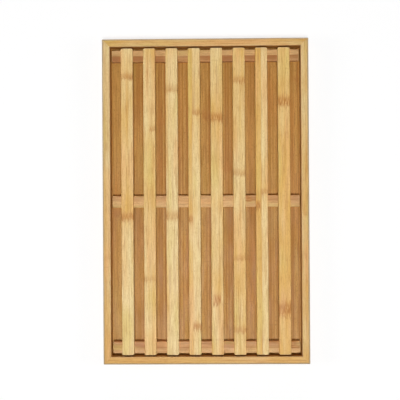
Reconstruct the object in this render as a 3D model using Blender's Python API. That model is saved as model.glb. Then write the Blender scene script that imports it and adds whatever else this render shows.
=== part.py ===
"""Bread board with crumb catcher: a slatted bamboo grate that lifts out of a shallow framed tray.

Metres, +Z up. The origin is the middle of the footprint, on the surface that the tray stands on.
Y runs along the slats, X across them. The front of the board is its -Y end.
"""

import math

import bmesh
import bpy
from mathutils import Vector

# Frame of the tray
TRAY_WIDTH = 0.2410
TRAY_LENGTH = 0.3800
RAIL_WIDTH = 0.0095
CORNER_RADIUS = 0.0012
OUTER_TOP_RADIUS = 0.0030
OUTER_FOOT_RADIUS = 0.0010
INNER_TOP_RADIUS = 0.0008
INNER_FOOT_RADIUS = 0.0006

# Floor panel, which the rails hold in a groove
FLOOR_RAISE = 0.0025
FLOOR_THICKNESS = 0.0040
FLOOR_CORNER_RADIUS = 0.0008
FLOOR_EDGE_RADIUS = 0.0003
GROOVE_DEPTH = 0.0045
PANEL_SWELL_ROOM = 0.0005

# Slats, the top layer of the grate
SLAT_COUNT = 8
SLAT_WIDTH = 0.0140
SLAT_THICKNESS = 0.0074
SLAT_SIDE_GAP = 0.0126
SLAT_END_GAP = 0.0018
SLAT_CORNER_RADIUS = 0.0014
SLAT_EDGE_RADIUS = 0.0009

# Battens, the bottom layer of the grate, which stand on the floor panel
BATTEN_NAMES = ("front", "middle", "back")
BATTEN_WIDTH = 0.0140
BATTEN_HEIGHT = 0.0075
BATTEN_INSET = 0.0008
BATTEN_END_GAP = 0.0013
BATTEN_CORNER_RADIUS = 0.0016
BATTEN_EDGE_RADIUS = 0.0009

# Brads, driven up through each batten into the slat above it
BRAD_SHANK_RADIUS = 0.0007
BRAD_HEAD_RADIUS = 0.0014
BRAD_HEAD_THICKNESS = 0.0007
BRAD_HEAD_SINK = 0.0005
BRAD_POINT_RADIUS = 0.0002
BRAD_POINT_LENGTH = 0.0012
BRAD_TIP_COVER = 0.0026

# Gap between pieces that touch, and how far a cut runs past the wood
FIT_GAP = 0.0003
CUT_OVERRUN = 0.0010

# Fineness of the round edges
CORNER_STEPS = 4
OUTER_TOP_STEPS = 6
SMALL_ARC_STEPS = 3
BAR_STEPS = 3
TURN_STEPS = 12
SHARP_ANGLE = math.radians(35)
MERGE_DISTANCE = 1e-6

# Colours as they look on screen, red, green and blue up to 255
PALE_BAMBOO = (230, 200, 148)
AMBER_BAMBOO = (216, 170, 104)
FRAME_BAMBOO = (218, 176, 116)
FLOOR_BAMBOO = (186, 137, 80)
BATTEN_BAMBOO = (210, 162, 106)
BRAD_STEEL = (186, 182, 174)
WOOD_ROUGHNESS = 0.48
STEEL_ROUGHNESS = 0.35
SLAT_AMBER_SHARES = (0.35, 0.50, 0.05, 0.55, 0.40, 0.50, 0.40, 0.95)

# Sizes that follow from the ones above
INNER_WIDTH = TRAY_WIDTH - 2 * RAIL_WIDTH
INNER_LENGTH = TRAY_LENGTH - 2 * RAIL_WIDTH
FLOOR_TOP = FLOOR_RAISE + FLOOR_THICKNESS
BATTEN_FOOT = FLOOR_TOP + FIT_GAP
BATTEN_TOP = BATTEN_FOOT + BATTEN_HEIGHT
SLAT_FOOT = BATTEN_TOP + FIT_GAP
FRAME_HEIGHT = SLAT_FOOT + SLAT_THICKNESS
SLAT_LENGTH = INNER_LENGTH - 2 * SLAT_END_GAP
BATTEN_LENGTH = INNER_WIDTH - 2 * BATTEN_END_GAP
PANEL_TONGUE = GROOVE_DEPTH - PANEL_SWELL_ROOM
BRAD_FOOT = BATTEN_FOOT + BRAD_HEAD_SINK
BRAD_LENGTH = FRAME_HEIGHT - BRAD_TIP_COVER - BRAD_FOOT


def screen_colour(red, green, blue):
    """A colour given as it looks on screen, as the linear values that a material takes."""

    def linear(value):
        share = value / 255
        return share / 12.92 if share <= 0.04045 else ((share + 0.055) / 1.055) ** 2.4

    return (linear(red), linear(green), linear(blue), 1.0)


def mixed(first, second, share):
    return tuple(a + (b - a) * share for a, b in zip(first, second))


def material(name, colour, roughness, metallic=0.0):
    made = bpy.data.materials.new(name)
    made.use_nodes = True
    shader = made.node_tree.nodes["Principled BSDF"]
    shader.inputs["Base Color"].default_value = screen_colour(*colour)
    shader.inputs["Roughness"].default_value = roughness
    shader.inputs["Metallic"].default_value = metallic
    made.diffuse_color = screen_colour(*colour)
    return made


def finished_mesh(name, bm, centre=Vector()):
    """The bmesh as a mesh about the given centre, shaded smooth between its sharp edges."""
    bmesh.ops.translate(bm, vec=-centre, verts=bm.verts)
    bmesh.ops.recalc_face_normals(bm, faces=bm.faces)
    mesh = bpy.data.meshes.new(name)
    bm.to_mesh(mesh)
    bm.free()
    mesh.shade_smooth()
    mesh.set_sharp_from_angle(angle=SHARP_ANGLE)
    mesh.materials.append(None)
    return mesh


def place(name, mesh, finish, parent, location=Vector(), turn=0.0):
    """A new object with its own material, which leaves a shared mesh free to carry others."""
    obj = bpy.data.objects.new(name, mesh)
    obj.parent = parent
    obj.location = location
    obj.rotation_euler.z = turn
    obj.material_slots[0].link = "OBJECT"
    obj.material_slots[0].material = finish
    bpy.context.scene.collection.objects.link(obj)
    return obj


def assembly(name):
    empty = bpy.data.objects.new(name, None)
    bpy.context.scene.collection.objects.link(empty)
    return empty


def bevel(bm, edges, radius, steps):
    bmesh.ops.bevel(
        bm,
        geom=edges,
        offset=radius,
        offset_type="OFFSET",
        segments=steps,
        profile=0.5,
        affect="EDGES",
        clamp_overlap=True,
    )


def bar(width, length, height, corner_radius, edge_radius):
    """A board or strip about its own centre, with rounded upright corners and eased rims."""
    bm = bmesh.new()
    bmesh.ops.create_cube(bm, size=1)
    bmesh.ops.scale(bm, vec=(width, length, height), verts=bm.verts)
    bm.normal_update()
    uprights = [e for e in bm.edges if all(abs(f.normal.z) < 0.5 for f in e.link_faces)]
    bevel(bm, uprights, corner_radius, BAR_STEPS)
    bm.normal_update()
    rims = [e for e in bm.edges if sum(abs(f.normal.z) > 0.5 for f in e.link_faces) == 1]
    bevel(bm, rims, edge_radius, BAR_STEPS)
    return bm


def quarter_arc(centre, radius, start_turn, end_turn, steps):
    """Points of an arc in the rail's section, between two angles given in quarter turns."""
    points = []
    for step in range(steps + 1):
        angle = math.pi / 2 * (start_turn + (end_turn - start_turn) * step / steps)
        points.append((centre[0] + radius * math.cos(angle), centre[1] + radius * math.sin(angle)))
    return points


def rail_section():
    """The rail's section as pairs of distance in from the outer face and height, once round."""
    groove_back = RAIL_WIDTH - GROOVE_DEPTH
    groove_foot = FLOOR_RAISE - FIT_GAP
    groove_top = FLOOR_TOP + FIT_GAP
    outer_foot = (OUTER_FOOT_RADIUS, OUTER_FOOT_RADIUS)
    outer_top = (OUTER_TOP_RADIUS, FRAME_HEIGHT - OUTER_TOP_RADIUS)
    inner_top = (RAIL_WIDTH - INNER_TOP_RADIUS, FRAME_HEIGHT - INNER_TOP_RADIUS)
    inner_foot = (RAIL_WIDTH - INNER_FOOT_RADIUS, INNER_FOOT_RADIUS)
    return [
        *quarter_arc(outer_foot, OUTER_FOOT_RADIUS, 3, 2, SMALL_ARC_STEPS),
        *quarter_arc(outer_top, OUTER_TOP_RADIUS, 2, 1, OUTER_TOP_STEPS),
        *quarter_arc(inner_top, INNER_TOP_RADIUS, 1, 0, SMALL_ARC_STEPS),
        (RAIL_WIDTH, groove_top),
        (groove_back, groove_top),
        (groove_back, groove_foot),
        (RAIL_WIDTH, groove_foot),
        *quarter_arc(inner_foot, INNER_FOOT_RADIUS, 0, -1, SMALL_ARC_STEPS),
    ]


def plan_loop(inset, height):
    """The tray's outline, drawn in by the inset. Its corners stay round until the inset uses them up."""
    radius = max(CORNER_RADIUS - inset, 0)
    points = []
    for corner, (side_x, side_y) in enumerate(((1, 1), (-1, 1), (-1, -1), (1, -1))):
        centre_x = side_x * (TRAY_WIDTH / 2 - inset - radius)
        centre_y = side_y * (TRAY_LENGTH / 2 - inset - radius)
        for step in range(CORNER_STEPS + 1):
            angle = math.pi / 2 * (corner + step / CORNER_STEPS)
            point_x = centre_x + radius * math.cos(angle)
            point_y = centre_y + radius * math.sin(angle)
            points.append((point_x, point_y, height))
    return points


def frame_ring():
    """The glued-up frame as one ring: the rail's section carried round the tray's outline."""
    bm = bmesh.new()
    loops = [[bm.verts.new(point) for point in plan_loop(*pair)] for pair in rail_section()]
    for here, after in zip(loops, loops[1:] + loops[:1]):
        for index in range(len(here)):
            following = (index + 1) % len(here)
            bm.faces.new((here[index], here[following], after[following], after[index]))
    bmesh.ops.remove_doubles(bm, verts=bm.verts, dist=MERGE_DISTANCE)
    return bm


def rail_centre(outward):
    reach_x = outward.x * (TRAY_WIDTH - RAIL_WIDTH) / 2
    reach_y = outward.y * (TRAY_LENGTH - RAIL_WIDTH) / 2
    return Vector((reach_x, reach_y, FRAME_HEIGHT / 2))


def mitred_rail(name, outward):
    """One rail of the frame, parted from the ring at the mitres on its two ends."""
    bm = frame_ring()
    for side in (-1, 1):
        along = Vector((side * outward.y, side * outward.x, 0))
        corner = outward + along
        tip = Vector((corner.x * TRAY_WIDTH / 2, corner.y * TRAY_LENGTH / 2, 0))
        away = (along - outward).normalized()
        everything = bm.verts[:] + bm.edges[:] + bm.faces[:]
        bmesh.ops.bisect_plane(
            bm,
            geom=everything,
            dist=MERGE_DISTANCE,
            plane_co=tip - away * FIT_GAP / 2,
            plane_no=away,
            clear_outer=True,
        )
    bmesh.ops.holes_fill(bm, edges=[edge for edge in bm.edges if edge.is_boundary])
    return finished_mesh(name, bm, rail_centre(outward))


def turned(bm, profile, foot):
    """Adds a solid turned about a vertical axis, from pairs of radius and height above its foot."""
    rings = []
    for radius, height in profile:
        ring = []
        for step in range(TURN_STEPS):
            angle = math.tau * step / TURN_STEPS
            spoke = Vector((radius * math.cos(angle), radius * math.sin(angle), height))
            ring.append(bm.verts.new(foot + spoke))
        rings.append(ring)
    for low, high in zip(rings, rings[1:]):
        for index in range(TURN_STEPS):
            following = (index + 1) % TURN_STEPS
            bm.faces.new((low[index], low[following], high[following], high[index]))
    bm.faces.new(reversed(rings[0]))
    bm.faces.new(rings[-1])


def slat_places():
    """X of each slat's middle line, spread evenly between the side gaps."""
    reach = INNER_WIDTH / 2 - SLAT_SIDE_GAP - SLAT_WIDTH / 2
    pitch = 2 * reach / (SLAT_COUNT - 1)
    return [pitch * index - reach for index in range(SLAT_COUNT)]


def batten_places():
    """Y of each batten's middle line, by name, spread evenly from one end of the slats to the other."""
    reach = SLAT_LENGTH / 2 - BATTEN_INSET - BATTEN_WIDTH / 2
    pitch = 2 * reach / (len(BATTEN_NAMES) - 1)
    return {name: pitch * index - reach for index, name in enumerate(BATTEN_NAMES)}


def brad_mesh():
    bm = bmesh.new()
    profile = [
        (BRAD_HEAD_RADIUS, 0),
        (BRAD_HEAD_RADIUS, BRAD_HEAD_THICKNESS),
        (BRAD_SHANK_RADIUS, BRAD_HEAD_THICKNESS),
        (BRAD_SHANK_RADIUS, BRAD_LENGTH - BRAD_POINT_LENGTH),
        (BRAD_POINT_RADIUS, BRAD_LENGTH),
    ]
    turned(bm, profile, Vector())
    return finished_mesh("brad", bm)


def brad_hole_cutter():
    """Every brad hole in one guide object: a sunk seat for the head and a blind hole for the shank."""
    seat_radius = BRAD_HEAD_RADIUS + FIT_GAP
    hole_radius = BRAD_SHANK_RADIUS + FIT_GAP
    seat_height = BRAD_HEAD_THICKNESS + FIT_GAP
    profile = [
        (seat_radius, -BRAD_HEAD_SINK - CUT_OVERRUN),
        (seat_radius, seat_height),
        (hole_radius, seat_height),
        (hole_radius, BRAD_LENGTH + FIT_GAP),
    ]
    bm = bmesh.new()
    for batten_y in batten_places().values():
        for slat_x in slat_places():
            turned(bm, profile, Vector((slat_x, batten_y, BRAD_FOOT)))
    bmesh.ops.recalc_face_normals(bm, faces=bm.faces)
    mesh = bpy.data.meshes.new("brad_holes")
    bm.to_mesh(mesh)
    bm.free()
    cutter = bpy.data.objects.new("brad_holes", mesh)
    cutter.hide_render = True
    cutter.display_type = "WIRE"
    bpy.context.scene.collection.objects.link(cutter)
    return cutter


def drill(obj, cutter):
    cut = obj.modifiers.new("Brad holes", "BOOLEAN")
    cut.operation = "DIFFERENCE"
    cut.solver = "EXACT"
    cut.object = cutter


def build_tray():
    tray = assembly("tray_assembly")
    frame_wood = material("bamboo_frame", FRAME_BAMBOO, WOOD_ROUGHNESS)
    floor_wood = material("bamboo_floor", FLOOR_BAMBOO, WOOD_ROUGHNESS)
    pairs = {
        ("frame_rail_left", "frame_rail_right"): Vector((-1, 0, 0)),
        ("frame_rail_front", "frame_rail_back"): Vector((0, -1, 0)),
    }
    for (name, opposite), outward in pairs.items():
        mesh = mitred_rail(name, outward)
        place(name, mesh, frame_wood, tray, rail_centre(outward))
        place(opposite, mesh, frame_wood, tray, rail_centre(-outward), math.pi)
    panel = bar(
        INNER_WIDTH + 2 * PANEL_TONGUE,
        INNER_LENGTH + 2 * PANEL_TONGUE,
        FLOOR_THICKNESS,
        FLOOR_CORNER_RADIUS,
        FLOOR_EDGE_RADIUS,
    )
    panel_centre = Vector((0, 0, FLOOR_RAISE + FLOOR_THICKNESS / 2))
    place("floor_panel", finished_mesh("floor_panel", panel), floor_wood, tray, panel_centre)


def build_grate():
    """The part that lifts out. Its empty stands on the axis that it slides up along."""
    grate = assembly("grate_assembly")
    cutter = brad_hole_cutter()
    slat = bar(SLAT_WIDTH, SLAT_LENGTH, SLAT_THICKNESS, SLAT_CORNER_RADIUS, SLAT_EDGE_RADIUS)
    slat_mesh = finished_mesh("slat", slat)
    slat_height = SLAT_FOOT + SLAT_THICKNESS / 2
    for index, slat_x in enumerate(slat_places()):
        share = SLAT_AMBER_SHARES[index % len(SLAT_AMBER_SHARES)]
        colour = mixed(PALE_BAMBOO, AMBER_BAMBOO, share)
        wood = material(f"bamboo_slat_{index + 1}", colour, WOOD_ROUGHNESS)
        spot = Vector((slat_x, 0, slat_height))
        drill(place(f"slat_{index + 1}", slat_mesh, wood, grate, spot), cutter)

    batten = bar(
        BATTEN_LENGTH, BATTEN_WIDTH, BATTEN_HEIGHT, BATTEN_CORNER_RADIUS, BATTEN_EDGE_RADIUS
    )
    batten_mesh = finished_mesh("batten", batten)
    batten_wood = material("bamboo_batten", BATTEN_BAMBOO, WOOD_ROUGHNESS)
    batten_height = BATTEN_FOOT + BATTEN_HEIGHT / 2
    brad = brad_mesh()
    steel = material("brad_steel", BRAD_STEEL, STEEL_ROUGHNESS, metallic=1.0)
    for name, batten_y in batten_places().items():
        spot = Vector((0, batten_y, batten_height))
        drill(place(f"batten_{name}", batten_mesh, batten_wood, grate, spot), cutter)
        for index, slat_x in enumerate(slat_places()):
            foot = Vector((slat_x, batten_y, BRAD_FOOT))
            place(f"brad_{name}_{index + 1}", brad, steel, grate, foot)


def main():
    for obj in list(bpy.data.objects):
        bpy.data.objects.remove(obj, do_unlink=True)
    build_tray()
    build_grate()


main()
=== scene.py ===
import math
from collections import namedtuple

import bmesh
import bpy
from mathutils import Matrix, Vector, noise


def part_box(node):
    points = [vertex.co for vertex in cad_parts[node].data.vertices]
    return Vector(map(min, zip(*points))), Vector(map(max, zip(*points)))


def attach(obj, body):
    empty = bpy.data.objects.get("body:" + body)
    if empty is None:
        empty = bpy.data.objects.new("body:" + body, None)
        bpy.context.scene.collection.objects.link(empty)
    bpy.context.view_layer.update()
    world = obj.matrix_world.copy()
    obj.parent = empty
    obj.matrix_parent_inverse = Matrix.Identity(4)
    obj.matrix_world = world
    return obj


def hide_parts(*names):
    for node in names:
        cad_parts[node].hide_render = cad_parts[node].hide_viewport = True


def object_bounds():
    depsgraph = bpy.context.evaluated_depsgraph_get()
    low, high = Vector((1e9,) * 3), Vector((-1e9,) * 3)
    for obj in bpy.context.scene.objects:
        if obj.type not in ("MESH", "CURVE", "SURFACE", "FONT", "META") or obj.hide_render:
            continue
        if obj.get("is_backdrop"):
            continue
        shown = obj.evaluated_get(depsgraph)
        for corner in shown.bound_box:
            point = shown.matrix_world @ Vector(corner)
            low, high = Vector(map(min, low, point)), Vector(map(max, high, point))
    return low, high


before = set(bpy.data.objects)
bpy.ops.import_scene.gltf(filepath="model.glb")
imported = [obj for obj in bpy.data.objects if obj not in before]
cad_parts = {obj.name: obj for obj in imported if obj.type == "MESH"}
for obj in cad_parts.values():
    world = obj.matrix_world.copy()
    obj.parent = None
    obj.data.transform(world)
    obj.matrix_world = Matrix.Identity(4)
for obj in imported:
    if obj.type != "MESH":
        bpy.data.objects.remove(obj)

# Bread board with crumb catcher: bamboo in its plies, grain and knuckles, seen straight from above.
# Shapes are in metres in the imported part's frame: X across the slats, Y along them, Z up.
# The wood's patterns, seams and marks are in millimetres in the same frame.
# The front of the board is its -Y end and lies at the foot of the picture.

CAD_LOW, CAD_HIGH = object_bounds()

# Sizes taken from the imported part
RAIL_LOW, RAIL_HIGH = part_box("frame_rail_left")
PANEL_LOW, PANEL_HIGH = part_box("floor_panel")
BATTEN_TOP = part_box("batten_middle")[1].z
TRAY_WIDTH = CAD_HIGH.x - CAD_LOW.x
TRAY_LENGTH = CAD_HIGH.y - CAD_LOW.y
TRAY_HEIGHT = CAD_HIGH.z
RAIL_WIDTH = RAIL_HIGH.x - RAIL_LOW.x

# Rails: the section's round edges, the groove, and the hairline that is left at a tight mitre
CORNER_RADIUS = 0.0012
OUTER_TOP_RADIUS = 0.0030
OUTER_FOOT_RADIUS = 0.0010
INNER_TOP_RADIUS = 0.0008
INNER_FOOT_RADIUS = 0.0006
GROOVE_DEPTH = 0.0045
GROOVE_EASE = 0.00002
MITRE_HAIRLINE = 0.00003

# Rails: steps round each edge and round the tray's corner, and stretches along the straight
OUTER_TOP_STEPS = 10
OUTER_FOOT_STEPS = 5
INNER_TOP_STEPS = 5
INNER_FOOT_STEPS = 4
CORNER_STEPS = 3
RAIL_STRETCHES = 36

# Slats and battens: rounded corners, eased rims, steps round each and the length between cuts
SLAT_CORNER_RADIUS = 0.0014
SLAT_RIM_RADIUS = 0.0009
BATTEN_CORNER_RADIUS = 0.0016
BATTEN_RIM_RADIUS = 0.0009
BATTEN_FLOOR_EASE = 0.00005
BAR_STEPS = 5
BAR_STRETCH = 0.011
ROUND_PROFILE = 0.5

# Seats for the brads in the battens' undersides
BRAD_EASE = 0.0003
BRAD_SEAT_SIDES = 16

# Wear: how far the wood's surface strays inward from true, and over what length it changes
WEAR = 0.00007
WEAR_LENGTH = 0.018

# Shared by several shapes: how far up a level face looks, the angle from which an edge stays sharp, the
# distance within which points merge, parts of a turn, and millimetres to the metre
LEVEL_FROM = 0.5
SHARP = math.radians(35)
MERGE = 1e-6
QUARTER_TURN = math.pi / 2
EIGHTH_TURN = math.pi / 4
MILLIMETRES = 1000.0
HALF_LENGTH = TRAY_LENGTH / 2 * MILLIMETRES


def quarter_arc(centre, radius, start_turn, end_turn, steps):
    """Points of an arc in the rail's section, between two angles given in quarter turns."""
    points = []
    for step in range(steps + 1):
        angle = QUARTER_TURN * (start_turn + (end_turn - start_turn) * step / steps)
        points.append((centre[0] + radius * math.cos(angle), centre[1] + radius * math.sin(angle)))
    return points


def rail_section():
    """The rail's section as pairs of distance in from the outer face and height, once round."""
    groove_back = RAIL_WIDTH - GROOVE_DEPTH
    groove_foot = PANEL_LOW.z - GROOVE_EASE
    groove_top = PANEL_HIGH.z + GROOVE_EASE
    outer_foot = (OUTER_FOOT_RADIUS, OUTER_FOOT_RADIUS)
    outer_top = (OUTER_TOP_RADIUS, TRAY_HEIGHT - OUTER_TOP_RADIUS)
    inner_top = (RAIL_WIDTH - INNER_TOP_RADIUS, TRAY_HEIGHT - INNER_TOP_RADIUS)
    inner_foot = (RAIL_WIDTH - INNER_FOOT_RADIUS, INNER_FOOT_RADIUS)
    return [
        *quarter_arc(outer_foot, OUTER_FOOT_RADIUS, 3, 2, OUTER_FOOT_STEPS),
        *quarter_arc(outer_top, OUTER_TOP_RADIUS, 2, 1, OUTER_TOP_STEPS),
        *quarter_arc(inner_top, INNER_TOP_RADIUS, 1, 0, INNER_TOP_STEPS),
        (RAIL_WIDTH, groove_top),
        (groove_back, groove_top),
        (groove_back, groove_foot),
        (RAIL_WIDTH, groove_foot),
        *quarter_arc(inner_foot, INNER_FOOT_RADIUS, 0, -1, INNER_FOOT_STEPS),
    ]


def rail_run(half_length, half_width, inset):
    """One line along a rail, from mitre to mitre, at a distance in from the tray's outer face.
    Pairs of distance along the rail and distance out from the tray's middle."""
    radius = max(CORNER_RADIUS - inset, 0)
    corner = half_length - inset - radius
    out = half_width - inset
    bend = []
    for step in range(CORNER_STEPS + 1):
        angle = EIGHTH_TURN * step / CORNER_STEPS
        bend.append((corner + radius * math.sin(angle), out - radius + radius * math.cos(angle)))
    reach = bend[0][0]
    straight = [(reach * (2 * i / RAIL_STRETCHES - 1), out) for i in range(1, RAIL_STRETCHES)]
    run = [(-a, b) for a, b in reversed(bend)] + straight + bend
    limit = bend[-1][0] - MITRE_HAIRLINE
    return [(min(max(a, -limit), limit), b) for a, b in run]


def rail_mesh(outward):
    """One mitred rail as a bmesh, on the side of the tray that outward points to."""
    along = Vector((-outward.y, outward.x, 0))
    half_length = (TRAY_LENGTH if outward.x else TRAY_WIDTH) / 2
    half_width = (TRAY_WIDTH if outward.x else TRAY_LENGTH) / 2
    bm = bmesh.new()
    lines = []
    for inset, height in rail_section():
        run = rail_run(half_length, half_width, inset)
        lines.append([bm.verts.new(along * a + outward * b + Vector((0, 0, height))) for a, b in run])
    for here, after in zip(lines, lines[1:] + lines[:1]):
        for index in range(len(here) - 1):
            bm.faces.new((here[index], here[index + 1], after[index + 1], after[index]))
    bm.faces.new([line[0] for line in lines])
    bm.faces.new([line[-1] for line in reversed(lines)])
    bmesh.ops.remove_doubles(bm, verts=bm.verts, dist=MERGE)
    return bm


def is_level(face):
    """Whether a face looks more up or down than sideways."""
    return abs(face.normal.z) > LEVEL_FROM


def bevel(bm, edges, radius):
    bmesh.ops.bevel(
        bm,
        geom=edges,
        offset=radius,
        offset_type="OFFSET",
        segments=BAR_STEPS,
        profile=ROUND_PROFILE,
        affect="EDGES",
        clamp_overlap=True,
    )


def bar_mesh(low, high, corner_radius, rim_radius):
    """A bar between two corners, with rounded upright corners, eased rims and cuts along its length."""
    size = high - low
    bm = bmesh.new()
    bmesh.ops.create_cube(bm, size=1)
    bmesh.ops.scale(bm, vec=size, verts=bm.verts)
    bmesh.ops.translate(bm, vec=(low + high) / 2, verts=bm.verts)
    bm.normal_update()
    uprights = [e for e in bm.edges if not any(is_level(f) for f in e.link_faces)]
    bevel(bm, uprights, corner_radius)
    bm.normal_update()
    rims = [e for e in bm.edges if sum(is_level(f) for f in e.link_faces) == 1]
    bevel(bm, rims, rim_radius)
    axis = 1 if size.y > size.x else 0
    direction = Vector((1 - axis, axis, 0))
    count = round(size[axis] / BAR_STRETCH)
    for step in range(1, count):
        spot = low + direction * size[axis] * step / count
        everything = bm.verts[:] + bm.edges[:] + bm.faces[:]
        bmesh.ops.bisect_plane(bm, geom=everything, dist=MERGE, plane_co=spot, plane_no=direction)
    return bm


def worn(bm, amount):
    """Draws the surface in by up to an amount, unevenly, as sanding by hand leaves it."""
    bmesh.ops.recalc_face_normals(bm, faces=bm.faces)
    bm.normal_update()
    moves = []
    for vert in bm.verts:
        share = 0.5 + 0.5 * noise.noise(vert.co / WEAR_LENGTH)
        moves.append(vert.normal * -amount * min(max(share, 0), 1))
    for vert, move in zip(bm.verts, moves):
        vert.co += move
    return bm


def shown(name, bm, body, slot, finish, *nodes):
    """A piece of the visible model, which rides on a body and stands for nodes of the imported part."""
    mesh = bpy.data.meshes.new(name)
    bm.to_mesh(mesh)
    bm.free()
    mesh.shade_smooth()
    mesh.set_sharp_from_angle(angle=SHARP)
    mesh.materials.append(finish)
    piece = bpy.data.objects.new(name, mesh)
    bpy.context.scene.collection.objects.link(piece)
    even = piece.modifiers.new("Even shading", "WEIGHTED_NORMAL")
    even.keep_sharp = True
    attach(piece, body)
    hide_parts(*nodes)
    return piece


# The sRGB curve, by which a screen shows a linear value
SCREEN_FULL = 255
CURVE_FOOT = 0.04045
CURVE_SLOPE = 12.92
CURVE_OFFSET = 0.055
CURVE_POWER = 2.4


def linear(value):
    """The linear value of one channel, given as it looks on screen."""
    share = value / SCREEN_FULL
    if share <= CURVE_FOOT:
        return share / CURVE_SLOPE
    return ((share + CURVE_OFFSET) / (1 + CURVE_OFFSET)) ** CURVE_POWER


def seen(red, green, blue):
    """A colour given as it looks on screen, up to 255, as the linear values that a shader takes."""
    return (linear(red), linear(green), linear(blue), 1.0)


# Colours as they look on screen. A palette's first two are its palest and its deepest tone.
Palette = namedtuple("Palette", "pale deep rose olive fibre")
ROSE = seen(227, 177, 115)
OLIVE = seen(213, 188, 106)
FIBRE = seen(168, 111, 48)
SLAT_PALETTE = Palette(seen(229, 205, 148), seen(215, 169, 88), ROSE, OLIVE, FIBRE)
BATTEN_PALETTE = Palette(seen(228, 187, 128), seen(180, 122, 70), ROSE, OLIVE, FIBRE)
RAIL_PALETTE = Palette(
    seen(221, 195, 140),
    seen(207, 160, 84),
    seen(220, 167, 108),
    seen(204, 179, 104),
    FIBRE,
)
FLOOR_PALETTE = Palette(
    seen(210, 161, 81),
    seen(180, 123, 47),
    seen(207, 140, 62),
    seen(194, 154, 65),
    seen(151, 98, 31),
)
KNUCKLE = seen(164, 103, 38)
KNUCKLE_GLOW = seen(206, 140, 62)
END_GRAIN = seen(166, 116, 62)
# A painted highlight on the eased edges round the end grain
END_HIGHLIGHT = seen(244, 222, 176)
# Painted grey sheen and shade on the rails' rounded outer edges
EDGE_SHEEN_AND_SHADE = seen(172, 150, 116)
# Painted shade on the rails' inner faces, which stand in the gaps along the grate
INNER_FACE_SHADE = seen(164, 106, 38)
STEEL = seen(186, 182, 174)
DULL_STEEL = seen(140, 134, 124)

# Sockets of a Mix node that blends colours, by their place, because its other kinds share the names
MIX_SHARE = 0
MIX_FIRST = 6
MIX_SECOND = 7
MIX_RESULT = 2

# A pattern in the wood is a cloud of noise. It has its waves per millimetre across the strip, along it
# and upwards, its detail, and a start of its own in the noise where it must not run like another.
Pattern = namedtuple("Pattern", "waves detail start", defaults=(2.0, (0, 0, 0)))
NOISE_MIDDLE = 0.5


class Wiring:
    """Short calls that add nodes to one tree. A value is a number, a tuple or another node's output."""

    def __init__(self, tree):
        self.tree = tree

    def feed(self, socket, value):
        if isinstance(value, bpy.types.NodeSocket):
            self.tree.links.new(value, socket)
        else:
            socket.default_value = value

    def node(self, kind, inputs, **settings):
        made = self.tree.nodes.new(kind)
        for key, value in settings.items():
            setattr(made, key, value)
        for key, value in inputs.items():
            self.feed(made.inputs[key], value)
        return made

    def math(self, operation, *values):
        made = self.node("ShaderNodeMath", {}, operation=operation)
        for socket, value in zip(made.inputs, values):
            self.feed(socket, value)
        return made.outputs[0]

    def times(self, first, second):
        return self.math("MULTIPLY", first, second)

    def added(self, base, value, share):
        """The base plus a share of a value."""
        return self.math("MULTIPLY_ADD", value, share, base)

    def span(self, value, low, high, to_low=0.0, to_high=1.0):
        """Eases from one value to another as the input goes from low to high."""
        sockets = {"Value": value, "From Min": low, "From Max": high, "To Min": to_low, "To Max": to_high}
        return self.node("ShaderNodeMapRange", sockets, interpolation_type="SMOOTHSTEP").outputs["Result"]

    def fall(self, value, low, high):
        """Eases from 1 to 0 as the input goes from low to high."""
        return self.span(value, low, high, 1.0, 0.0)

    def split(self, vector):
        return self.node("ShaderNodeSeparateXYZ", {"Vector": vector}).outputs

    def joined(self, x, y, z):
        return self.node("ShaderNodeCombineXYZ", {"X": x, "Y": y, "Z": z}).outputs[0]

    def vector(self, operation, *values):
        made = self.node("ShaderNodeVectorMath", {}, operation=operation)
        for socket, value in zip(made.inputs, values):
            self.feed(socket, value)
        return made.outputs

    def scaled(self, vector, scale, shift=(0, 0, 0)):
        return self.vector("MULTIPLY_ADD", vector, scale, shift)["Vector"]

    def dot(self, vector, direction):
        return self.vector("DOT_PRODUCT", vector, direction)["Value"]

    def spot(self):
        """The shaded point in its object's own axes, in metres."""
        return self.node("ShaderNodeTexCoord", {}).outputs["Object"]

    def pattern(self, place, kind, start=None):
        """The noise of one kind of pattern, from 0 to 1."""
        spot = self.scaled(place, kind.waves, kind.start if start is None else start)
        sockets = {"Vector": spot, "Scale": 1.0, "Detail": kind.detail}
        return self.node("ShaderNodeTexNoise", sockets).outputs["Fac"]

    def swing(self, value):
        """How far a noise is from its middle."""
        return self.math("SUBTRACT", value, NOISE_MIDDLE)

    def mixed(self, share, first, second):
        made = self.tree.nodes.new("ShaderNodeMix")
        made.data_type = "RGBA"
        for socket, value in zip((MIX_SHARE, MIX_FIRST, MIX_SECOND), (share, first, second)):
            self.feed(made.inputs[socket], value)
        return made.outputs[MIX_RESULT]


def new_finish(name):
    """An empty material, the wiring of its nodes and its shader."""
    finish = bpy.data.materials.new(name)
    finish.use_nodes = True
    return finish, Wiring(finish.node_tree), finish.node_tree.nodes["Principled BSDF"]


# A mark has its place along the strip, the two edges that it spans across it, its strength and how far
# its dashes trail. The steps keep one mark's noise from running like the next one's.
Mark = namedtuple("Mark", "at left right strength trail")
MARK_STEP_ACROSS = 7.3
MARK_STEP_ALONG = 3.1
MARK_SOFT_EDGE = 0.8

# The thin line at which a mark begins: how it sways, its width, its strength and where it breaks. It is
# fainter where the dashes trail far.
LINE_WAVER = Pattern((0.32, 0.02, 0.32))
LINE_SWAY = 5.0
LINE_WIDTH = (0.2, 1.2)
LINE_STRENGTH = 0.9
LINE_SHORT_TRAIL = 6.0
BREAKS = Pattern((0.5, 0.05, 0.5))
BREAKS_RANGE = (0.36, 0.58)

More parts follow.
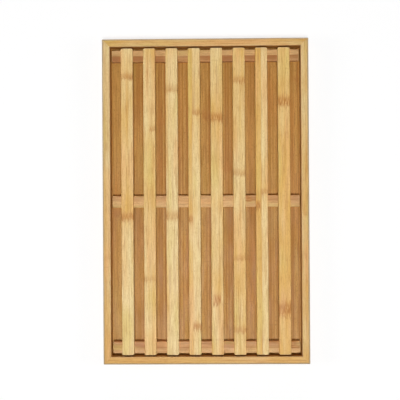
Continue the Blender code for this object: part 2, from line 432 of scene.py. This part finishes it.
# The dashes that trail from it. What is named a trail is a share of the length over which they trail.
STREAKS = Pattern((1.5, 0.12, 1.5), detail=3.0)
RAGGED_TRAIL = 2.0
DASH_START_TRAIL = (-0.45, 0.15)
DASH_END_TRAIL = (0.30, 1.1)
DASH_RANGE = (0.38, 0.66)
DASH_STRENGTH = (0.20, 1.15)
BETWEEN_RANGE = (0.46, 0.34)
BEYOND_START_TRAIL = (-0.3, 0.3)
BEYOND_END_TRAIL = (1, 4)


def trailing(trail, shares):
    """Two distances, given as shares of the length over which a mark's dashes trail."""
    low, high = shares
    return (low * trail, high * trail)


def knuckle_marks(tree, place, marks):
    """How dark the knuckles of the culm mark the wood, how far they warm it all round, how far they pale
    it between their dashes, and how far they deepen its tone on their far side."""
    across, along, _ = tree.split(place)
    dark = 0.0
    warmed = 0.0
    paled = 0.0
    deepened = 0.0
    for index, mark in enumerate(marks):
        start = (MARK_STEP_ACROSS * index, MARK_STEP_ALONG * index + mark.at, 0)
        sway = tree.swing(tree.pattern(place, LINE_WAVER, start))
        distance = tree.added(tree.math("SUBTRACT", along, mark.at), sway, LINE_SWAY)
        line_strength = min(LINE_STRENGTH, LINE_SHORT_TRAIL / mark.trail)
        line = tree.span(tree.math("ABSOLUTE", distance), *LINE_WIDTH, line_strength, 0.0)
        unbroken = tree.span(tree.pattern(place, BREAKS, start), *BREAKS_RANGE)

        streaks = tree.pattern(place, STREAKS, start)
        ragged = tree.added(distance, tree.swing(streaks), RAGGED_TRAIL * mark.trail)
        begun = tree.span(ragged, *trailing(mark.trail, DASH_START_TRAIL))
        inside = tree.times(begun, tree.fall(ragged, *trailing(mark.trail, DASH_END_TRAIL)))
        dashes = tree.times(inside, tree.span(streaks, *DASH_RANGE, *DASH_STRENGTH))
        between = tree.times(inside, tree.span(streaks, *BETWEEN_RANGE))
        drawn = tree.math("MAXIMUM", tree.times(line, unbroken), dashes)
        begun_beyond = tree.span(distance, *trailing(mark.trail, BEYOND_START_TRAIL))
        beyond = tree.times(begun_beyond, tree.fall(distance, *trailing(mark.trail, BEYOND_END_TRAIL)))

        from_left = tree.span(across, mark.left - MARK_SOFT_EDGE, mark.left + MARK_SOFT_EDGE)
        from_right = tree.fall(across, mark.right - MARK_SOFT_EDGE, mark.right + MARK_SOFT_EDGE)
        spread = tree.times(tree.times(from_left, from_right), mark.strength)
        dark = tree.added(dark, drawn, spread)
        warmed = tree.added(warmed, inside, spread)
        paled = tree.added(paled, between, spread)
        deepened = tree.added(deepened, beyond, spread)
    return dark, warmed, paled, deepened


# The figure of the wood: how far its tone swings slowly, how much rose, olive and fleck it shows, and how
# wide its narrow strips are, if it is laid in any
Figure = namedtuple("Figure", "slow_swing hue_share fleck_share strip_width")
PLAIN = Figure(slow_swing=1.8, hue_share=0.60, fleck_share=0.30, strip_width=0.0)
STRIPS = Figure(slow_swing=1.1, hue_share=0.38, fleck_share=0.50, strip_width=1.75)

# The seam between two plies: how it sways, how softly one tone meets the other, and its line of glue
SEAM_WAVER = Pattern((0.0, 0.012, 0.0), start=(3.0, 0.0, 0.0))
SEAM_SWAY = 1.6
SEAM_BLEND = 0.25
GLUE_LINE = (0.05, 0.22)
GLUE_SHARE = 0.45

# Tone, from 0 pale to 1 deep, and hue
BANDS = Pattern((0.28, 0.008, 0.28), detail=1.0)
BAND_SWING = 0.9
SLOW_CHANGE = Pattern((0.03, 0.014, 0.03))
STRIP_SWING = 1.0
KNUCKLE_DEEPENS = 0.18
TONE_RANGE = (-0.1, 1.1)
HUE = Pattern((0.09, 0.011, 0.09), detail=1.0, start=(31.0, 17.0, 5.0))
ROSE_RANGE = (0.50, 0.74)
OLIVE_RANGE = (0.48, 0.26)

# Fibres and flecks
FINE_FIBRES = Pattern((2.1, 0.07, 2.1), detail=4.0)
FINE_RANGE = (0.47, 0.72)
FINE_SHARE = 0.55
COARSE_FIBRES = Pattern((0.75, 0.025, 0.75), start=(11.0, 2.0, 7.0))
COARSE_RANGE = (0.50, 0.72)
COARSE_SHARE = 0.42
FLECKS = Pattern((1.1, 0.40, 1.1), detail=3.0, start=(2.0, 23.0, 9.0))
FLECK_RANGE = (0.50, 0.72)

# How far the knuckle marks colour the wood
GLOW_SHARE = 0.45
PALED_SHARE = 0.35
KNUCKLE_MOST = 0.85

# End grain, by how squarely a face looks along the grain: cut fibres inside a painted highlight
END_HIGHLIGHT_RISE = (0.15, 0.45)
END_HIGHLIGHT_FALL = (0.60, 0.90)
END_HIGHLIGHT_SHARE = 0.45
END_GRAIN_RANGE = (0.75, 0.98)
END_GRAIN_SHARE = 0.6

# A rail's painted grey sheen and shade along its rounded edges, by how far a face turns up, in uneven
# patches, and the painted shade on its inner face, by how far a face looks away from outward
EDGE_SHEEN_RISE = (0.02, 0.55)
EDGE_SHEEN_FALL = (0.85, 0.995)
EDGE_SHEEN_PATCHES = Pattern((0.25, 0.035, 0.25), detail=4.0)
EDGE_SHEEN_PATCH_RANGE = (0.32, 0.60)
EDGE_SHEEN_PATCH_SHARE = (0.60, 1.0)
INNER_SHADE_RANGE = (-0.5, -0.95)
INNER_SHADE_SHARE = 0.85

# Gloss and relief. The relief's parts are shares of its height, which is in metres.
SHEEN = Pattern((0.2, 0.03, 0.2), detail=3.0, start=(5.0, 9.0, 1.0))
FIBRE_DULLING = 0.15
SHEEN_RANGE = (0.3, 0.8)
WOOD_ROUGHNESS = (0.44, 0.60)
WOOD_SPECULAR = 0.30
RELIEF_STRENGTH = 0.6
RELIEF_HEIGHT = 0.00006
GLUE_RELIEF = -1.0
FIBRE_RELIEF = -0.35
KNUCKLE_RELIEF = 0.4


def lively(tree, place, tone, figure):
    """A tone with the wood's bands and slow changes, and with one draw for each narrow strip."""
    tone = tree.added(tone, tree.swing(tree.pattern(place, BANDS)), BAND_SWING)
    tone = tree.added(tone, tree.swing(tree.pattern(place, SLOW_CHANGE)), figure.slow_swing)
    if figure.strip_width:
        across, _, _ = tree.split(place)
        strip = tree.math("FLOOR", tree.math("DIVIDE", across, figure.strip_width))
        draw = tree.node("ShaderNodeTexWhiteNoise", {"W": strip}, noise_dimensions="1D").outputs["Value"]
        tone = tree.added(tone, tree.swing(draw), STRIP_SWING)
    return tone


def coloured(tree, place, tone, palette, figure):
    """The wood's colour for a tone, with its rose and olive places."""
    hue = tree.pattern(place, HUE)
    colour = tree.mixed(tree.span(tone, *TONE_RANGE), palette.pale, palette.deep)
    colour = tree.mixed(tree.span(hue, *ROSE_RANGE, 0.0, figure.hue_share), colour, palette.rose)
    return tree.mixed(tree.span(hue, *OLIVE_RANGE, 0.0, figure.hue_share), colour, palette.olive)


def fibred(tree, place, colour, fine, fibre, figure):
    """A colour with its fine fibres, its coarse fibres and its flecks."""
    coarse = tree.span(tree.pattern(place, COARSE_FIBRES), *COARSE_RANGE, 0.0, COARSE_SHARE)
    flecks = tree.span(tree.pattern(place, FLECKS), *FLECK_RANGE, 0.0, figure.fleck_share)
    for share in (tree.times(fine, FINE_SHARE), coarse, flecks):
        colour = tree.mixed(share, colour, fibre)
    return colour


def end_grained(tree, facing, grain, colour):
    """A colour that turns to end grain, in a painted highlight, on the faces that look along the grain."""
    end = tree.math("ABSOLUTE", facing[1] if grain == "y" else facing[0])
    highlight = tree.times(tree.span(end, *END_HIGHLIGHT_RISE), tree.fall(end, *END_HIGHLIGHT_FALL))
    colour = tree.mixed(tree.times(highlight, END_HIGHLIGHT_SHARE), colour, END_HIGHLIGHT)
    return tree.mixed(tree.span(end, *END_GRAIN_RANGE, 0.0, END_GRAIN_SHARE), colour, END_GRAIN)


def edge_sheen_and_inner_shade(tree, place, normal, facing, outward, colour):
    """A rail's colour, with painted grey sheen and shade on its rounded edges
    and painted shade on its inner face.
    """
    # Painted grey sheen and shade where the rounded edges turn over, in uneven patches
    turning = tree.times(tree.span(facing[2], *EDGE_SHEEN_RISE), tree.fall(facing[2], *EDGE_SHEEN_FALL))
    patches = tree.span(tree.pattern(place, EDGE_SHEEN_PATCHES), *EDGE_SHEEN_PATCH_RANGE, *EDGE_SHEEN_PATCH_SHARE)
    colour = tree.mixed(tree.times(turning, patches), colour, EDGE_SHEEN_AND_SHADE)
    # Painted shade on the faces that look inward
    inner = tree.span(tree.dot(normal, outward), *INNER_SHADE_RANGE, 0.0, INNER_SHADE_SHARE)
    return tree.mixed(inner, colour, INNER_FACE_SHADE)


def bamboo(name, grain, tones, seam, marks=(), palette=SLAT_PALETTE, figure=PLAIN, drift=0.0, outward=None):
    """Bamboo. Its fibres follow the axis named by grain. Its two plies have the given tones, from 0 pale
    to 1 deep, and meet at the seam. The drift says how much deeper the tone is at the tray's front than
    in its middle. Only a rail has an outward direction, and with it painted grey sheen and shade on its
    rounded edges and painted shade on its inner face."""
    finish, tree, shader = new_finish(name)
    x, y, z = tree.split(tree.scaled(tree.spot(), (MILLIMETRES,) * 3))
    across, along = (x, y) if grain == "y" else (y, x)
    place = tree.joined(across, along, z)

    waver = tree.swing(tree.pattern(place, SEAM_WAVER))
    from_seam = tree.math("SUBTRACT", tree.added(across, waver, SEAM_SWAY), seam)
    tone = tree.span(from_seam, -SEAM_BLEND, SEAM_BLEND, *tones)
    tone = lively(tree, place, tree.added(tone, y, -drift / HALF_LENGTH), figure)
    if marks:
        knuckle, warmed, paled, deepened = knuckle_marks(tree, place, marks)
        tone = tree.added(tone, deepened, KNUCKLE_DEEPENS)
    colour = coloured(tree, place, tone, palette, figure)
    fine = tree.span(tree.pattern(place, FINE_FIBRES), *FINE_RANGE)
    colour = fibred(tree, place, colour, fine, palette.fibre, figure)

    glue = tree.fall(tree.math("ABSOLUTE", from_seam), *GLUE_LINE)
    colour = tree.mixed(tree.times(glue, GLUE_SHARE), colour, palette.fibre)
    relief = tree.added(tree.times(fine, FIBRE_RELIEF), glue, GLUE_RELIEF)
    if marks:
        colour = tree.mixed(tree.times(warmed, GLOW_SHARE), colour, KNUCKLE_GLOW)
        colour = tree.mixed(tree.times(paled, PALED_SHARE), colour, palette.pale)
        colour = tree.mixed(tree.math("MINIMUM", knuckle, KNUCKLE_MOST), colour, KNUCKLE)
        relief = tree.added(relief, knuckle, KNUCKLE_RELIEF)

    normal = tree.node("ShaderNodeNewGeometry", {}).outputs["Normal"]
    facing = tree.split(normal)
    # End grain, with a painted highlight on the eased edges round it
    colour = end_grained(tree, facing, grain, colour)
    # A rail's painted grey sheen and shade on its edges, and painted shade on its inner face
    if outward is not None:
        colour = edge_sheen_and_inner_shade(tree, place, normal, facing, outward, colour)
    tree.feed(shader.inputs["Base Color"], colour)

    sheen = tree.added(tree.pattern(place, SHEEN), fine, FIBRE_DULLING)
    tree.feed(shader.inputs["Roughness"], tree.span(sheen, *SHEEN_RANGE, *WOOD_ROUGHNESS))
    shader.inputs["Specular IOR Level"].default_value = WOOD_SPECULAR
    sockets = {"Strength": RELIEF_STRENGTH, "Distance": RELIEF_HEIGHT, "Height": relief}
    tree.feed(shader.inputs["Normal"], tree.node("ShaderNodeBump", sockets).outputs["Normal"])
    return finish


# Steel wire, marked along its length where it was drawn
DRAWN = Pattern((4.0, 4.0, 0.4), detail=3.0)
DRAWN_RANGE = (0.3, 0.7)
STEEL_ROUGHNESS = (0.25, 0.45)


def drawn_steel(name):
    finish, tree, shader = new_finish(name)
    drawn = tree.pattern(tree.scaled(tree.spot(), (MILLIMETRES,) * 3), DRAWN)
    tree.feed(shader.inputs["Base Color"], tree.mixed(tree.span(drawn, *DRAWN_RANGE), STEEL, DULL_STEEL))
    tree.feed(shader.inputs["Roughness"], tree.span(drawn, *DRAWN_RANGE, *STEEL_ROUGHNESS))
    shader.inputs["Metallic"].default_value = 1.0
    return finish


# The tray. Each rail has its outward direction, the axis of its grain, its plies' tones, their drift,
# the seam's place and its marks.
RAILS = {
    "left": (Vector((-1, 0, 0)), "y", (0.55, 0.50), 0.60, -117.5, ()),
    "right": (Vector((1, 0, 0)), "y", (0.48, 0.66), 0.35, 116.2, (Mark(-15.9, 113.0, 118.0, 0.35, 8.0),)),
    "front": (Vector((0, -1, 0)), "x", (1.00, 0.95), 0.0, -185.5, ()),
    "back": (Vector((0, 1, 0)), "x", (0.75, 0.88), 0.0, 185.2, ()),
}
for side, (outward, grain, tones, drift, seam, marks) in RAILS.items():
    name = f"bamboo_rail_{side}"
    finish = bamboo(name, grain, tones, seam, marks, RAIL_PALETTE, drift=drift, outward=outward)
    mesh = worn(rail_mesh(outward), WEAR)
    shown(f"rail_{side}", mesh, "tray", "bamboo_frame", finish, f"frame_rail_{side}")

FLOOR_TONES = (0.5, 0.5)
FLOOR_SEAM = 0.0
FLOOR_MARKS = (
    Mark(98.1, -4.0, 6.0, 0.8, 11.0),
    Mark(91.0, -57.0, -48.0, 0.45, 11.0),
    Mark(36.5, 21.0, 31.0, 0.4, 10.0),
    Mark(-14.7, -110.0, -99.0, 0.5, 11.0),
    Mark(142.1, 103.0, 110.0, 0.4, 8.0),
    Mark(-70.1, 48.0, 56.0, 0.35, 8.0),
)
finish = bamboo("bamboo_floor_strips", "y", FLOOR_TONES, FLOOR_SEAM, FLOOR_MARKS, FLOOR_PALETTE, STRIPS)
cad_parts["floor_panel"].material_slots[0].material = finish

# The grate. Each slat has its plies' tones, the seam's distance from its middle and its marks, whose
# edges are measured from its middle too.
SLATS = {
    "slat_1": ((0.42, 0.30), 1.5, (Mark(144.3, -8, 8, 0.7, 8), Mark(-20.0, -8, 8, 0.9, 10))),
    "slat_2": ((0.54, 0.69), 2.0, (Mark(82.9, 0, 8, 0.5, 7), Mark(-91.7, -8, 8, 0.35, 7))),
    "slat_3": ((0.40, 0.05), -4.0, (Mark(128.7, -8, 8, 0.55, 9), Mark(-19.5, -8, 8, 0.65, 11))),
    "slat_4": (
        (0.80, 0.25),
        -2.2,
        (
            Mark(101.8, -2, 8, 0.6, 8),
            Mark(-22.0, -8, -2, 0.7, 8),
            Mark(-147.7, -2, 8, 0.9, 10),
        ),
    ),
    "slat_5": ((0.38, 0.43), 2.5, (Mark(95.0, -8, 8, 0.95, 11), Mark(-117.0, -5, 4, 1.0, 11))),
    "slat_6": (
        (0.47, 0.52),
        0.5,
        (
            Mark(139.1, -8, 8, 0.6, 9),
            Mark(31.0, -8, 8, 0.5, 8),
            Mark(-67.7, -8, 8, 0.4, 7),
            Mark(-151.3, -8, 8, 0.6, 9),
        ),
    ),
    "slat_7": ((1.00, 0.22), -0.5, (Mark(-7.0, -8, -1, 1.0, 10), Mark(9.5, -1, 8, 0.5, 7))),
    "slat_8": ((0.75, 0.95), 1.0, (Mark(112.8, -8, 8, 1.0, 12), Mark(-129.5, -8, 8, 1.15, 17))),
}


def beside(middle, marks):
    """The marks of a strip, with their edges measured from the frame's middle and not from the strip's."""
    moved = []
    for mark in marks:
        moved.append(Mark(mark.at, middle + mark.left, middle + mark.right, mark.strength, mark.trail))
    return moved


for name, (tones, seam, marks) in SLATS.items():
    low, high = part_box(name)
    middle = (low.x + high.x) / 2 * MILLIMETRES
    finish = bamboo(f"bamboo_{name}", "y", tones, middle + seam, beside(middle, marks))
    low.z = BATTEN_TOP
    mesh = worn(bar_mesh(low, high, SLAT_CORNER_RADIUS, SLAT_RIM_RADIUS), WEAR)
    shown(f"{name}_strip", mesh, "grate", "bamboo_slat", finish, name)

# Each batten is given as a slat is
BATTENS = {
    "batten_front": ((0.22, 0.76), -0.8, (Mark(99.8, -1, 7, 0.9, 9),)),
    "batten_middle": ((0.00, 0.35), 0.6, (Mark(48.2, -1, 7, 0.8, 7),)),
    "batten_back": ((1.05, 0.05), 0.0, ()),
}


def fill_seats(mesh):
    """Fills a mesh with one closed solid for each brad's seat in the battens' undersides."""
    bm = bmesh.new()
    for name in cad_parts:
        if not name.startswith("brad_"):
            continue
        low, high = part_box(name)
        radius = (high.x - low.x) / 2 + BRAD_EASE
        middle = (low + high) / 2
        reach = low.z - PANEL_HIGH.z + BRAD_EASE
        bmesh.ops.create_cone(
            bm,
            cap_ends=True,
            segments=BRAD_SEAT_SIDES,
            radius1=radius,
            radius2=radius,
            depth=2 * reach,
            matrix=Matrix.Translation((middle.x, middle.y, PANEL_HIGH.z)),
        )
    bm.to_mesh(mesh)
    bm.free()


# The seats are cut before the shading is evened out, and their solids are then removed
seats = bpy.data.objects.new("brad_seats", bpy.data.meshes.new("brad_seats"))
fill_seats(seats.data)
bpy.context.scene.collection.objects.link(seats)
for name, (tones, seam, marks) in BATTENS.items():
    low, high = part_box(name)
    middle = (low.y + high.y) / 2 * MILLIMETRES
    finish = bamboo(f"bamboo_{name}", "x", tones, middle + seam, beside(middle, marks), BATTEN_PALETTE)
    low.z = PANEL_HIGH.z + BATTEN_FLOOR_EASE
    mesh = worn(bar_mesh(low, high, BATTEN_CORNER_RADIUS, BATTEN_RIM_RADIUS), WEAR)
    piece = shown(f"{name}_strip", mesh, "grate", "bamboo_batten", finish, name)
    cut = piece.modifiers.new("Brad seats", "BOOLEAN")
    cut.operation = "DIFFERENCE"
    cut.solver = "EXACT"
    cut.object = seats
    piece.modifiers.move(1, 0)
    bpy.context.view_layer.update()
    done = bpy.data.meshes.new_from_object(piece.evaluated_get(bpy.context.evaluated_depsgraph_get()))
    piece.modifiers.clear()
    piece.data = done
bpy.data.objects.remove(seats)

steel = drawn_steel("brad_steel_bright")
for name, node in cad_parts.items():
    if name.startswith("brad_"):
        node.material_slots[0].material = steel

# Camera: a lens a little less than a metre above the board, as fitted to the photograph's edges, with
# its turns in radians
PICTURE_SIDE = 400
SENSOR = 36.0
FOCAL_PIXELS = 795.26
CAMERA_SPOT = Vector((0.00822, -0.00149, TRAY_HEIGHT + 0.92467))
CAMERA_ROLL = -0.00600
CAMERA_TILT = 0.00320
CAMERA_LEAN = 0.01619
camera = bpy.data.objects.new("camera", bpy.data.cameras.new("camera"))
camera.data.sensor_width = SENSOR
camera.data.lens = FOCAL_PIXELS / PICTURE_SIDE * SENSOR
turn = Matrix.Rotation(CAMERA_ROLL, 4, "Z")
turn = turn @ Matrix.Rotation(CAMERA_TILT, 4, "X")
turn = turn @ Matrix.Rotation(CAMERA_LEAN, 4, "Y")
camera.matrix_world = Matrix.Translation(CAMERA_SPOT) @ turn
bpy.context.scene.collection.objects.link(camera)
bpy.context.scene.camera = camera

# White ground, which keeps the board's shadow, under a white sky. To the camera and in reflections
# most of the ground's white is its own, so that the shadow stays as faint as in the photograph. Far
# from the board all of it is, so that low views show no horizon.
GROUND_SIDE = 12.0
GROUND_DROP = 0.0001
GROUND_WHITE = 0.90
GROUND_SHARE = 0.24
GROUND_LIT_TO = 0.5
GROUND_WHITE_FROM = 2.5
SKY_FILL = 0.10
SKY_WHITE = 1.0
WHITE = (1.0, 1.0, 1.0, 1.0)


def grey(level):
    return (level, level, level, 1.0)


def seen_directly(tree):
    """1 for rays from the camera and for those that a reflection or a clear piece sends on, else 0."""
    rays = tree.node("ShaderNodeLightPath", {}).outputs
    sent_on = tree.math("MAXIMUM", rays["Is Glossy Ray"], rays["Is Transmission Ray"])
    return tree.math("MAXIMUM", rays["Is Camera Ray"], sent_on)


def white_paper(name):
    """White paper. Seen directly, it reflects only a share of the light and gives off the rest of its
    white itself. To all other rays it is plain matt paper."""
    finish, tree, shader = new_finish(name)
    finish.node_tree.nodes.remove(shader)
    direct = seen_directly(tree)
    far = tree.vector("LENGTH", tree.spot())["Value"]
    share = tree.span(far, GROUND_LIT_TO, GROUND_WHITE_FROM, GROUND_SHARE, 0.0)
    matt_colour = tree.mixed(direct, grey(GROUND_WHITE), share)
    matt = tree.node("ShaderNodeBsdfDiffuse", {"Color": matt_colour})
    own = tree.times(direct, tree.math("SUBTRACT", 1.0, share))
    own_white = tree.node("ShaderNodeEmission", {"Strength": own})
    both = tree.node("ShaderNodeAddShader", {0: matt.outputs[0], 1: own_white.outputs[0]})
    tree.feed(finish.node_tree.nodes["Material Output"].inputs["Surface"], both.outputs[0])
    return finish


bm = bmesh.new()
bmesh.ops.create_grid(bm, x_segments=1, y_segments=1, size=GROUND_SIDE / 2)
ground_mesh = bpy.data.meshes.new("ground")
bm.to_mesh(ground_mesh)
bm.free()
ground_mesh.materials.append(white_paper("white_paper"))
ground = bpy.data.objects.new("ground", ground_mesh)
ground.location.z = -GROUND_DROP
bpy.context.scene.collection.objects.link(ground)
ground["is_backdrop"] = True

world = bpy.data.worlds.new("white_sky")
world.use_nodes = True
bpy.context.scene.world = world
sky = Wiring(world.node_tree)
background = world.node_tree.nodes["Background"]
background.inputs["Color"].default_value = WHITE
sky.feed(background.inputs["Strength"], sky.span(seen_directly(sky), 0.0, 1.0, SKY_FILL, SKY_WHITE))

# Soft lamps, which face the board's middle. A bearing goes round from the back of the board by way of
# the right-hand side, and a rise is an angle above the ground, both in degrees. Then come the lamp's
# side in metres and its power in watts.
LAMP_DISTANCE = 1.9
SOFTBOXES = {
    "softbox_overhead": (180, 76, 0.35, 22.0),
    "softbox_left": (270, 30, 0.7, 10.8),
    "softbox_right": (90, 30, 0.7, 9.4),
    "softbox_back": (0, 15, 0.7, 10.0),
}
for name, (bearing, rise, side, watts) in SOFTBOXES.items():
    lamp = bpy.data.lights.new(name, "AREA")
    lamp.shape = "SQUARE"
    lamp.size = side
    lamp.energy = watts
    around = math.radians(bearing)
    up = math.radians(rise)
    towards = Vector((math.sin(around) * math.cos(up), math.cos(around) * math.cos(up), math.sin(up)))
    box = bpy.data.objects.new(name, lamp)
    box.location = towards * LAMP_DISTANCE
    box.rotation_mode = "QUATERNION"
    box.rotation_quaternion = (-towards).to_track_quat("-Z", "Y")
    bpy.context.scene.collection.objects.link(box)

bpy.context.scene.view_settings.view_transform = "Standard"

low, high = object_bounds()
